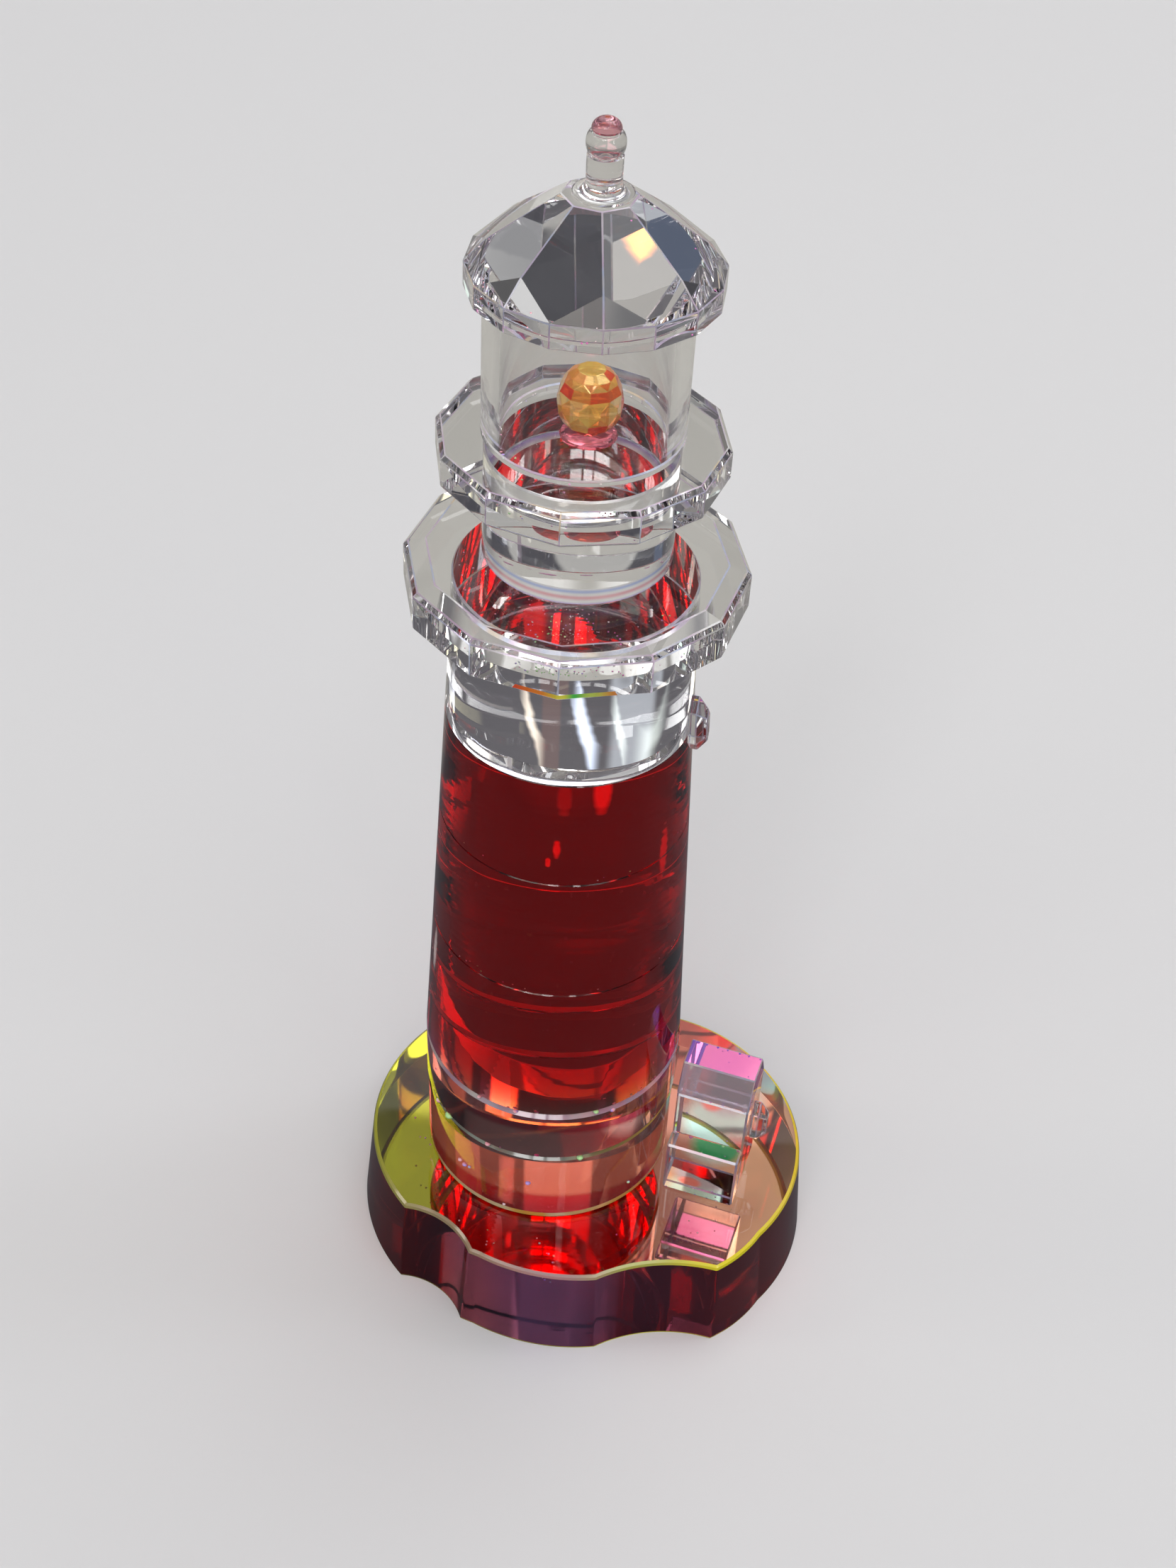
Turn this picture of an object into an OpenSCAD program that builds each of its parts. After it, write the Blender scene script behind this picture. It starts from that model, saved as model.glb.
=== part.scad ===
// Cut-glass lighthouse figurine: a stack of glued crystal pieces on a wavy coated base slab,
// with a small keeper's house beside the tower. Millimetres, +Z up.
// Origin: centre of the base outline, on the underside that rests on the table.

/* [Base slab] */
// Height of the whole base, coating included
base_h = 13.6; // [8:0.2:20]
// Thickness of the iridescent coating layer under the slab
film_t = 0.2; // [0.1:0.05:0.6]
// How far the wall of the slab spreads outwards from its top edge to its foot
base_flare = 1.2; // [0:0.1:2]
// Width of the small bevel along the slab's top edge
base_edge = 0.5; // [0.2:0.1:1]
// Radius of the round left lobe, which is centred on the tower
lobe_left_r = 23.2; // [20:0.1:26]
// Radius of the front lobe
lobe_front_r = 24.3; // [22:0.1:27]
// Sideways distance of the front lobe's centre from the tower axis
lobe_front_x = 3.5; // [1:0.1:6]
// Radius of the right lobe
lobe_right_r = 22.1; // [20:0.1:26]
// Sideways distance of the right lobe's centre from the tower axis
lobe_right_x = 11.4; // [9:0.1:14]
// Radius of the corner lobe at the front right
lobe_corner_r = 17.4; // [15:0.1:19]
// Sideways distance of the corner lobe's centre from the tower axis
lobe_corner_x = 13.1; // [11:0.1:15]
// Distance of the corner lobe's centre in front of the tower axis
lobe_corner_y = 7.2; // [5:0.1:9]
// Radius of the hollow wave at the front left
wave_left_r = 10.2; // [6:0.1:16]
// How deep the left wave bites into the front lobe
wave_left_depth = 1.3; // [0.4:0.1:2.5]
// Direction of the left wave, seen from the front lobe's centre, in degrees
wave_left_az = -131; // [-140:1:-120]
// Radius of the hollow wave at the front right
wave_right_r = 20.8; // [12:0.1:30]
// How deep the right wave bites into the front lobe
wave_right_depth = 0.8; // [0.4:0.1:2]
// Direction of the right wave, seen from the front lobe's centre, in degrees
wave_right_az = -71; // [-78:1:-64]

/* [Tower foot discs] */
// How far the lower foot disc stands back from the upper one
foot_low_step = 0.2; // [0:0.1:1]
// Height of the lower foot disc
foot_low_h = 12.3; // [8:0.1:16]
// How far the upper foot disc stands out from the tower's foot
foot_top_step = 0; // [0:0.1:1]
// Height of the upper foot disc
foot_top_h = 8.3; // [5:0.1:12]

/* [Tower] */
// Radius of the tower at its foot
tower_r0 = 16.0; // [12:0.1:18]
// Radius of the tower at its top
tower_r1 = 13.0; // [10:0.1:15]
// Height of the lowest ruby section
ruby_low_h = 20.8; // [10:0.1:30]
// Height of the middle ruby section
ruby_mid_h = 17.1; // [10:0.1:30]
// Height of the upper ruby section
ruby_top_h = 14.1; // [8:0.1:24]
// Height of the clear section over the ruby ones
clear_h = 15.5; // [8:0.1:24]
// Ground bevel on the rims of the round pieces
rim_c = 0.2; // [0.1:0.05:0.4]

/* [Galleries and neck] */
// Corners of both galleries
gallery_sides = 12; // [8:2:16]
// Corner radius of the lower gallery
low_gal_r = 18.2; // [15:0.1:21]
// Height of the lower gallery's upright wall
low_gal_wall = 4.0; // [2:0.1:6]
// Width of the narrow bevel above that wall
low_gal_bevel = 0.5; // [0.2:0.1:1]
// Width of the sloping crown facets of the lower gallery
low_gal_crown = 1.9; // [1:0.1:3]
// Rise of those crown facets
low_gal_rise = 0.45; // [0.2:0.05:1]
// Turn of the lower gallery's corners, in degrees
low_gal_turn = 27; // [0:1:30]
// Radius of the neck disc between the galleries
neck_r = 9.9; // [8:0.1:12]
// Height of the neck disc
neck_h = 10.7; // [6:0.1:15]
// Bevel on the neck disc's lower rim
neck_c = 0.7; // [0.2:0.1:1.2]
// Corner radius of the upper gallery
top_gal_r = 14.9; // [12:0.1:18]
// Height of the upper gallery
top_gal_h = 4.0; // [2.5:0.1:6]
// Bevel on both edges of the upper gallery
top_gal_bevel = 0.5; // [0.2:0.1:1]
// Turn of the upper gallery's corners, in degrees
top_gal_turn = 24; // [0:1:30]

/* [Lantern] */
// Outer radius of the lantern tube
tube_r = 10.2; // [9:0.1:11.5]
// Wall of the lantern tube
tube_wall = 1.8; // [1:0.1:3]
// Height of the lantern tube
tube_h = 15.7; // [12:0.1:20]
// Radius of the seat under the lamp bead
seat_r = 2.9; // [1.8:0.1:3.2]
// Height of that seat
seat_h = 0.6; // [0.3:0.1:1.5]
// Radius of the faceted lamp bead
bead_r = 3.3; // [2.5:0.1:4]
// Height of the lamp bead
bead_h = 6.8; // [5:0.1:8]
// Facets round the lamp bead
bead_sides = 10; // [8:1:12]
// How far off the tower's axis the bead and its seat are glued
lamp_off = 0.5; // [0:0.1:1]

/* [Dome roof] */
// Corner radius of the dome's girdle
dome_r = 12.4; // [11:0.1:15]
// Height of the upright girdle band
girdle_h = 2.5; // [1.5:0.1:5]
// Rise of the crown over the girdle
crown_h = 6.9; // [4:0.1:9]
// Main facets of the crown
dome_sides = 8; // [6:1:10]
// How far the crown's ridge corners lie inside the girdle
break_in = 2.2; // [1.4:0.1:3]
// Corner radius of the flat on top of the crown
table_r = 3.6; // [3:0.1:5]
// Turn of the crown's ridges, in degrees
dome_turn = 5; // [0:1:22]
// How far off the tower's axis the dome is glued
dome_off = 0.4; // [0:0.1:0.8]

/* [Finial] */
// How far off the tower's axis the finial is glued
finial_off = 0.7; // [0:0.1:1]
// Radius of the finial's flared foot
finial_foot_r = 2.9; // [2.2:0.1:3.3]
// Height of the flared foot
finial_foot_h = 1.3; // [0.8:0.1:2.5]
// Radius of the finial's stem
stem_r = 1.7; // [1.2:0.1:2]
// Height of the stem over the flared foot
stem_h = 2.6; // [1:0.1:4]
// Radius of the small barrel-shaped ring bead on the stem
ring_r = 1.85; // [1.4:0.05:2.4]
// Height of the ring bead
ring_h = 2.1; // [1:0.1:3]
// Radius of the round cap on top
cap_r = 1.4; // [1:0.05:1.8]
// Height of the round cap
cap_h = 1.3; // [1:0.1:4]

/* [Window stones] */
// Length of a window stone, tip to tip
stone_l = 7.6; // [5:0.1:10]
// Width of a window stone
stone_w = 2.4; // [1.6:0.1:4]
// Thickness of a window stone
stone_t = 2.0; // [1:0.1:2.4]
// Length of the pointed ends
stone_tip = 1.7; // [1:0.1:2.4]
// Bevel along the sides of a window stone's face
stone_c = 0.6; // [0.3:0.05:0.8]
// How far the face stops short of the stone's tips
stone_end = 1.6; // [0.8:0.1:2]
// Glue gap behind a window stone
stone_glue = 0.05; // [0:0.01:0.2]
// Height of the tower window's centre over the foot of the clear section
tower_stone_z = 1.4; // [-4:0.1:6]
// Direction of the tower window, in degrees
tower_stone_az = -15; // [-30:1:10]
// Height of the house window's centre over the slab
house_stone_z = 10.2; // [6:0.1:11]

/* [Keeper's house] */
// Direction of the house from the tower, in degrees
house_az = -16; // [-30:1:0]
// Gap between the wider foot disc and the house
house_gap = 1.4; // [0.5:0.1:3]
// Width of the house, outwards from the tower
house_w = 9.3; // [6:0.1:11]
// Depth of the house block, front to back
house_d = 8.0; // [5:0.1:11]
// Height of the house block
house_h = 15.8; // [11:0.1:20]
// Shift of the house block towards the back
house_back = 1.5; // [0:0.1:3]
// Depth of the step block in front of the house
step_d = 2.6; // [1.5:0.1:4]
// Height of the step block
step_h = 8.7; // [4:0.1:10]
// Height of the roof block
roof_h = 4.0; // [2:0.1:6]
// Depth of the flat on top of the roof block
roof_flat = 4.0; // [2:0.1:5]

/* [Hidden] */
$fn = 96;

lobe_front_y = -0.3;
lobe_right_y = -1.6;
lobes = [[0, 0, lobe_left_r], [lobe_front_x, lobe_front_y, lobe_front_r],
    [lobe_right_x, lobe_right_y, lobe_right_r], [lobe_corner_x, -lobe_corner_y, lobe_corner_r]];
function wave(az, r, depth) =
    let (d = lobe_front_r + r - depth)
    [lobe_front_x + d * cos(az), lobe_front_y + d * sin(az), r];
waves = [wave(wave_left_az, wave_left_r, wave_left_depth),
    wave(wave_right_az, wave_right_r, wave_right_depth)];

// The outline's middle, so that the slab stands centred over the origin
mid_x = (max([for (l = lobes) l[0] + l[2]]) + min([for (l = lobes) l[0] - l[2]])) / 2;
mid_y = (max([for (l = lobes) l[1] + l[2]]) + min([for (l = lobes) l[1] - l[2]])) / 2;

foot_top_r = tower_r0 + foot_top_step;
foot_low_r = foot_top_r - foot_low_step;

z_foot_low = base_h;
z_foot_top = z_foot_low + foot_low_h;
z_tower = z_foot_top + foot_top_h;
z_mid = z_tower + ruby_low_h;
z_upper = z_mid + ruby_mid_h;
z_clear = z_upper + ruby_top_h;
z_low_gal = z_clear + clear_h;
low_gal_h = low_gal_wall + low_gal_bevel + low_gal_rise;
z_neck = z_low_gal + low_gal_h;
z_top_gal = z_neck + neck_h;
z_tube = z_top_gal + top_gal_h;
z_dome = z_tube + tube_h;
z_table = z_dome + girdle_h + crown_h;
z_stem = z_table + finial_foot_h;
z_ring = z_stem + stem_h;
z_cap = z_ring + ring_h;

tower_h = z_low_gal - z_tower;
// Radius of the tower's wall at a height over the underside
function tower_r(z) = tower_r0 + (tower_r1 - tower_r0) * (z - z_tower) / tower_h;
tower_lean = atan((tower_r0 - tower_r1) / tower_h);

house_u = foot_top_r + house_gap;

clear_glass = [0.88, 0.91, 0.95, 0.45];
ruby_glass = [0.55, 0.02, 0.04, 0.85];

// Places its children on the tower's axis
module on_tower() translate([-mid_x, -mid_y, 0]) children();

// Places its children on the finial's own axis
module on_finial() on_tower() translate([finial_off, 0, 0]) children();

// Places its children on the lantern's floor, on the lamp's own axis
module on_lamp() on_tower() translate([lamp_off, 0, z_tube]) children();

// Places its children in the frame of the house: +X outwards, +Y to its back, on the slab
module at_house() on_tower() rotate([0, 0, house_az])
    translate([house_u, house_back - house_d / 2, base_h]) children();

// One layer of the wavy slab: its outline moved outwards by o0 at the bottom and o1 at the top
module slab_layer(z0, h, o0, o1) translate([0, 0, z0]) difference() {
    union() for (l = lobes)
        translate([l[0], l[1], 0]) cylinder(h = h, r1 = l[2] + o0, r2 = l[2] + o1);
    for (w = waves) translate([w[0], w[1], -0.01 * h])
        cylinder(h = 1.02 * h, r1 = w[2] - o0, r2 = w[2] - o1);
}

// Outward offset of the slab's wall at a height
function wall_off(z) = base_flare * (1 - z / (base_h - base_edge));

// A round piece turned on the axis: radius ra at z0 and rb at z0 + h, bevelled rims
module turned(z0, h, ra, rb, c0 = rim_c, c1 = rim_c) rotate_extrude()
    polygon([[0, z0], [ra - c0, z0], [ra, z0 + c0], [rb, z0 + h - c1], [rb - c1, z0 + h],
        [0, z0 + h]]);

// A flat prism of n sides, for the hulls of the faceted pieces
module ring_of(n, r, z, turn, h = 0.02) translate([0, 0, z]) rotate([0, 0, turn])
    cylinder(h = h, r = r, $fn = n);

// A flat-backed stone standing on its long axis: back at x = 0, face towards +X
module window_stone() {
    half = stone_w / 2;
    long = stone_l / 2;
    module outline(in, end, x, t) translate([x, 0, 0]) rotate([90, 0, 90]) linear_extrude(t)
        polygon([for (s = [[1, 1], [0, 1], [-1, 1], [-1, -1], [0, -1], [1, -1]])
            [s[0] * (half - in), s[1] * (long - end - abs(s[0]) * (stone_tip - end * 0.5))]]);
    hull() {
        outline(0, 0, 0, stone_t - stone_c - 0.5);
        outline(stone_c, stone_end, stone_t - 0.02, 0.02);
    }
}

module base_coating() color([0.45, 0.32, 0.55]) on_tower()
    slab_layer(0, film_t, wall_off(film_t), wall_off(film_t));

module base_slab() color([0.72, 0.62, 0.35, 0.6]) on_tower() union() {
    slab_layer(film_t, base_h - base_edge - film_t, wall_off(film_t), 0);
    slab_layer(base_h - base_edge, base_edge, 0, -base_edge);
}

module foot_disc_lower() color([0.55, 0.32, 0.2, 0.6]) on_tower()
    turned(z_foot_low, foot_low_h, foot_low_r, foot_low_r);

module foot_disc_upper() color([0.3, 0.16, 0.2, 0.6]) on_tower()
    turned(z_foot_top, foot_top_h, foot_top_r, foot_top_r);

// One length of the tower's tapering stack
module tower_length(z0, z1) turned(z0, z1 - z0, tower_r(z0), tower_r(z1));

module tower_ruby_lower() color(ruby_glass) on_tower() tower_length(z_tower, z_mid);

module tower_ruby_middle() color(ruby_glass) on_tower() tower_length(z_mid, z_upper);

module tower_ruby_upper() color(ruby_glass) on_tower() tower_length(z_upper, z_clear);

module tower_clear_section() color(clear_glass) on_tower() tower_length(z_clear, z_low_gal);

module lower_gallery() color(clear_glass) on_tower() hull() {
    ring_of(gallery_sides, low_gal_r, z_low_gal, low_gal_turn, low_gal_wall);
    ring_of(gallery_sides, low_gal_r - low_gal_bevel,
        z_low_gal + low_gal_wall + low_gal_bevel - 0.02, low_gal_turn);
    ring_of(gallery_sides, low_gal_r - low_gal_bevel - low_gal_crown,
        z_low_gal + low_gal_h - 0.02, low_gal_turn);
}

module gallery_neck() color(clear_glass) on_tower()
    turned(z_neck, neck_h, neck_r, neck_r, neck_c, rim_c);

module upper_gallery() color(clear_glass) on_tower() hull() {
    ring_of(gallery_sides, top_gal_r - top_gal_bevel, z_top_gal, top_gal_turn);
    ring_of(gallery_sides, top_gal_r, z_top_gal + top_gal_bevel, top_gal_turn,
        top_gal_h - 2 * top_gal_bevel);
    ring_of(gallery_sides, top_gal_r - top_gal_bevel, z_tube - 0.02, top_gal_turn);
}

module lantern_tube() color(clear_glass) on_tower() difference() {
    turned(z_tube, tube_h, tube_r, tube_r);
    translate([0, 0, z_tube - 1]) cylinder(h = tube_h + 2, r = tube_r - tube_wall);
}

module lamp_seat() color([0.9, 0.6, 0.62, 0.7]) on_lamp() cylinder(h = seat_h, r = seat_r);

// The bead is widest at its middle and cut with rows of facets that step by half a facet
module lamp_bead() color([0.95, 0.42, 0.1, 0.8]) on_lamp() translate([0, 0, seat_h]) hull() {
    step = 180 / bead_sides;
    ring_of(bead_sides, bead_r * 0.42, 0, 0);
    ring_of(bead_sides, bead_r * 0.82, bead_h * 0.17, step);
    ring_of(bead_sides, bead_r, bead_h * 0.5 - 0.25, 0, 0.5);
    ring_of(bead_sides, bead_r * 0.82, bead_h * 0.83 - 0.02, step);
    ring_of(bead_sides, bead_r * 0.42, bead_h - 0.02, 0);
}

// Brilliant-cut crown: each main facet runs from a side of the flat on top down to one point of
// the girdle, and the ridges between them fork into break facets a little inside the girdle
module dome_roof() color(clear_glass) on_tower() translate([dome_off, 0, 0]) hull() {
    ridge_r = dome_r - break_in;
    half = 180 / dome_sides;
    ridge_z = crown_h * (dome_r - ridge_r * cos(half)) / (dome_r - table_r * cos(half));
    ring_of(2 * dome_sides, dome_r, z_dome, dome_turn - 90, girdle_h);
    ring_of(dome_sides, ridge_r, z_dome + girdle_h + ridge_z - 0.02, dome_turn - 90);
    ring_of(dome_sides, table_r, z_table - 0.02, dome_turn - 90);
}

// The foot sweeps up into the stem in a quarter of an ellipse
module finial_stem() color(clear_glass) on_finial() rotate_extrude() polygon(concat(
    [[0, z_table], [finial_foot_r, z_table]],
    [for (i = [0:6]) let (a = 15 * i)
        [stem_r + (finial_foot_r - stem_r) * (1 - sin(a)),
            z_table + 0.3 + (finial_foot_h - 0.3) * (1 - cos(a))]],
    [[stem_r, z_ring], [0, z_ring]]));

// A barrel: its side bulges in half an ellipse
module finial_ring_bead() color([0.85, 0.87, 0.9, 0.7]) on_finial() rotate_extrude()
    polygon(concat([[0, z_ring]],
        [for (i = [-4:4]) let (a = 20 * i, end_r = ring_r * 0.78)
            [end_r + (ring_r - end_r) * (cos(a) - cos(80)) / (1 - cos(80)),
                z_ring + ring_h * (0.5 + 0.5 * sin(a) / sin(80))]],
        [[0, z_cap]]));

// A quarter ellipse turned round the axis
module finial_cap() color([0.95, 0.72, 0.74, 0.6]) on_finial() rotate_extrude() polygon(concat(
    [[0, z_cap], [cap_r * 0.9, z_cap]],
    [for (i = [0:7]) let (a = 90 * i / 8) [cap_r * cos(a), z_cap + 0.25 + (cap_h - 0.25) * sin(a)]],
    [[0, z_cap + cap_h]]));

module tower_window() color([0.92, 0.85, 0.86, 0.7]) on_tower()
    rotate([0, 0, tower_stone_az])
    translate([tower_r(z_clear + tower_stone_z), 0, z_clear + tower_stone_z])
    rotate([0, -tower_lean, 0]) translate([stone_glue, 0, 0]) window_stone();

module house_block() color([0.85, 0.86, 0.84, 0.6]) at_house()
    cube([house_w, house_d, house_h]);

module house_step() color([0.72, 0.6, 0.6, 0.6]) at_house()
    translate([0, -step_d, 0]) cube([house_w, step_d, step_h]);

// Upright slab of glass with sloping front and back and a flat along the ridge
module house_roof() color([0.9, 0.45, 0.8, 0.7]) at_house() translate([0, 0, house_h])
    rotate([90, 0, 90]) linear_extrude(house_w)
        polygon([[0, 0], [house_d, 0], [(house_d + roof_flat) / 2, roof_h],
            [(house_d - roof_flat) / 2, roof_h]]);

module house_window() color([0.92, 0.85, 0.86, 0.7]) at_house()
    translate([house_w + stone_glue, house_d / 2, house_stone_z]) window_stone();

base_coating();
base_slab();
foot_disc_lower();
foot_disc_upper();
tower_ruby_lower();
tower_ruby_middle();
tower_ruby_upper();
tower_clear_section();
lower_gallery();
gallery_neck();
upper_gallery();
lantern_tube();
lamp_seat();
lamp_bead();
dome_roof();
finial_stem();
finial_ring_bead();
finial_cap();
tower_window();
house_block();
house_step();
house_roof();
house_window();
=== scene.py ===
"""Cut crystal lighthouse figurine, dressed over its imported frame. Meshes are drawn in millimetres
from the tower's axis and put into the frame, in metres, when they are finished."""

import random
from math import atan2, cos, degrees, radians, sin, sqrt, tau

import bmesh
import bpy
from mathutils import Matrix, Vector


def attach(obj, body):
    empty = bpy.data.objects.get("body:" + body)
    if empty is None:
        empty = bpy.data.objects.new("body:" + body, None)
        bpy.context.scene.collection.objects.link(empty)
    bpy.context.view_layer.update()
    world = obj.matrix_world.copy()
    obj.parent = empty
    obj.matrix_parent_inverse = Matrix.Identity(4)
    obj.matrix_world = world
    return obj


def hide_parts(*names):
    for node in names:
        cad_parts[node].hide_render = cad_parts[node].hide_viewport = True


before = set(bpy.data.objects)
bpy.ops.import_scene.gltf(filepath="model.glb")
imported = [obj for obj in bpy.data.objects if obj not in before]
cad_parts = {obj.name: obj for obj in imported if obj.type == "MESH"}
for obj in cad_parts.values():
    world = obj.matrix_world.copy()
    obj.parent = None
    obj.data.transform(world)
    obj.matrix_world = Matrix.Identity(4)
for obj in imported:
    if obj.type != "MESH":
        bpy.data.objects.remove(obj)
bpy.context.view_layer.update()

# Sizes, in millimetres
AXIS = (-5.15, 0.3)  # the tower's axis in the frame
GLUE = 0.012  # half of the gap that the glue fills between two pieces
ROUND, SMALL_ROUND, TINY_ROUND = 192, 96, 64  # steps in a full turn, by the piece's size
MM = 0.001  # one millimetre, in metres
GLASS_IOR = 1.52  # crystal glass

BASE_H, FILM_T, FLARE, BASE_EDGE = 13.6, 0.2, 1.2, 0.5
LOBES = [(0, 0, 23.2), (3.5, -0.3, 24.3), (11.4, -1.6, 22.1), (13.1, -7.2, 17.4)]
WAVES = [(-131, 10.2, 1.3), (-71, 20.8, 0.8)]  # direction, radius, depth of each bite

Z_FOOT, Z_FOOT2, Z_TOWER = 13.6, 25.9, 34.2
Z_MID, Z_UPPER, Z_CLEAR, Z_GALLERY = 55.0, 72.1, 86.2, 101.7
Z_NECK, Z_GALLERY2, Z_TUBE, Z_DOME = 106.65, 117.35, 121.35, 137.05
Z_GIRDLE, Z_TABLE = 139.55, 146.45
Z_RING, Z_CAP, Z_TIP = 150.35, 152.45, 153.75
FOOT_R, FOOT2_R, NECK_R, TUBE_R, TUBE_BORE = 15.8, 16.0, 9.9, 10.2, 8.4
GALLERY_R, GALLERY2_R, DOME_R = 18.2, 14.9, 12.4
TOWER_FOOT_R, TAPER = 16.0, 3.0  # the tower's radius at its foot, and what it loses to its top
GALLERY_SIDES, GALLERY_TURN, GALLERY2_TURN = 12, 27, 24
# The lower gallery's straight wall, its shoulder, the cut edge, and how far in its table starts
GALLERY_WALL, GALLERY_SHOULDER, GALLERY_EDGE, TABLE_IN = 4.0, 4.5, 0.5, 2.4
# How far off the axis the dome, the finial and the lamp were glued
DOME_OFF, FINIAL_OFF, LAMP_OFF = 0.4, 0.7, 0.5
FINIAL_FOOT_R, SEAT_R, SEAT_H = 2.9, 2.9, 0.6
BEAD_R, BEAD_H, BEAD_SIDES, BEAD_LIFT = 3.3, 6.8, 10, 0.01
GOLD_H = 1.1  # height of the painted gold line of reflected light at the foot of the lower disc
NECK_RIM_H = 2.6  # height of the painted light stripes at the foot of the neck
LIT_TO = 2  # both painted lit lines run round the front to this depth

HOUSE_AZ, HOUSE_U, HOUSE_W, HOUSE_D, HOUSE_H = -16, 17.4, 9.3, 8.0, 15.8
HOUSE_V, STEP_D, STEP_H, ROOF_H, ROOF_FLAT = -2.5, 2.6, 8.7, 4.0, 4.0
HOUSE_BEVEL, ROOF_BEVEL = 0.25, 0.15
TOWER_WINDOW_Z, TOWER_WINDOW_AZ, HOUSE_WINDOW_H = Z_CLEAR + 1.4, -15, 10.2
STONE_GAP = 0.05  # the glue behind a window stone

# A piece's material slots: its faces, its glued faces, its rims, and one of its own
WALL, JOINT, BEVEL, COATED = 0, 1, 2, 3


def tower_r(z):
    return TOWER_FOOT_R - TAPER * (z - Z_TOWER) / (Z_GALLERY - Z_TOWER)


# Materials
def srgb(code):
    """An sRGB hex colour as the linear values that shaders take."""
    parts = [int(code[i : i + 2], 16) / 255 for i in (1, 3, 5)]
    linear = [p / 12.92 if p <= 0.04045 else ((p + 0.055) / 1.055) ** 2.4 for p in parts]
    return (*linear, 1.0)


def add(tree, kind, settings=None, **links):
    """One node: its settings by attribute or input name, and its inputs by number or name."""
    node = tree.nodes.new(kind)
    for key, value in (settings or {}).items():
        if isinstance(key, str) and hasattr(node, key):
            setattr(node, key, value)
        else:
            node.inputs[key].default_value = value
    for key, source in links.items():
        slot = int(key[1:]) if key[0] == "i" and key[1:].isdigit() else key.replace("_", " ")
        tree.links.new(source, node.inputs[slot])
    return node


def blank(name):
    """A material with no node but its output."""
    material = bpy.data.materials.new(name)
    material.use_nodes = True
    tree = material.node_tree
    tree.nodes.clear()
    return material, tree, tree.nodes.new("ShaderNodeOutputMaterial")


def ramp(tree, source, stops, interpolation="EASE"):
    """A colour ramp from its stops: (place, sRGB hex)."""
    node = add(tree, "ShaderNodeValToRGB", Fac=source)
    node.color_ramp.interpolation = interpolation
    bands = node.color_ramp.elements
    bands[0].position, bands[1].position = stops[0][0], stops[-1][0]
    for place, _ in stops[1:-1]:
        bands.new(place)
    for band, (place, code) in zip(bands, stops):
        band.position, band.color = place, srgb(code)
    return node


def mixed(tree, share, low, high):
    return add(
        tree, "ShaderNodeMix", {"data_type": "RGBA"}, i0=share, i6=low, i7=high
    ).outputs[2]


def span(tree, source, low, high):
    """How far a value has come from low to high, from 0 to 1."""
    return add(
        tree, "ShaderNodeMapRange", {"From Min": low, "From Max": high}, Value=source
    ).outputs[0]


def patched(tree, place, colour, patches):
    """Round patches of their own colour, soft at the edge: (middle, radius, colour)."""
    for spot, reach, code in patches:
        near = add(tree, "ShaderNodeVectorMath", {"operation": "DISTANCE", 1: spot}, i0=place)
        share = span(tree, near.outputs["Value"], reach, reach * 0.6)
        kind = {"data_type": "RGBA", 7: srgb(code)}
        colour = add(tree, "ShaderNodeMix", kind, i0=share, i6=colour).outputs[2]
    return colour


def crystal(
    name,
    tint="#ffffff",
    ripple=0.0,
    wave=0.35,
    absorb=None,
    mirror=0.0,
    marked=False,
    dust=0.0,
):
    """Polished crystal glass. A slow unevenness of the hand-polished faces, wave, bends the
    streaks seen in it, and fine turning marks, ripple, break them into steps on turned pieces.
    A share of mirror stands for a thin coat, and a share of dust dulls the face."""
    material, tree, out = blank(name)
    place = add(tree, "ShaderNodeTexCoord").outputs["Object"]
    slow = add(tree, "ShaderNodeTexNoise", {"Scale": 120.0, "Detail": 1.0}, Vector=place)
    bump = add(
        tree, "ShaderNodeBump", {"Strength": wave, "Distance": 0.00004}, Height=slow.outputs["Fac"]
    )
    if ripple:
        # Turning marks about 0.6 mm apart, as wide as they can still be seen
        marks = add(
            tree,
            "ShaderNodeTexWave",
            {
                "bands_direction": "Z",
                "Scale": 260.0,
                "Distortion": 1.6,
                "Detail": 2.0,
                "Detail Scale": 0.5,
            },
            Vector=place,
        )
        bump = add(
            tree,
            "ShaderNodeBump",
            {"Strength": ripple, "Distance": 0.00001},
            Height=marks.outputs["Fac"],
            Normal=bump.outputs["Normal"],
        )
    glass = add(
        tree,
        "ShaderNodeBsdfPrincipled",
        {
            "Base Color": srgb(tint),
            "Metallic": mirror,
            "Roughness": 0.0,
            "IOR": GLASS_IOR,
            "Transmission Weight": 1.0 - dust,
        },
        Normal=bump.outputs["Normal"],
    )
    if marked:
        # Coloured glass is one material all round: its glued faces are marked on the mesh
        bond = add(tree, "ShaderNodeAttribute", {"attribute_name": "glued"})
        open_face = add(
            tree, "ShaderNodeMath", {"operation": "SUBTRACT", 0: 1.0}, i1=bond.outputs["Fac"]
        )
        tree.links.new(open_face.outputs[0], glass.inputs["Alpha"])
    tree.links.new(glass.outputs[0], out.inputs["Surface"])
    if absorb:
        code, density = absorb
        body = add(tree, "ShaderNodeVolumeAbsorption", {"Color": srgb(code), "Density": density})
        tree.links.new(body.outputs[0], out.inputs["Volume"])
    return material


def cured_glue():
    """Optical glue with the index of the glass: the joint that it fills all but vanishes."""
    material, tree, out = blank("Clear UV glue in the joint")
    glass = add(tree, "ShaderNodeBsdfPrincipled", {"Alpha": 0.0, "Roughness": 0.3, "IOR": 1.5})
    tree.links.new(glass.outputs[0], out.inputs["Surface"])
    return material


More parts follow.
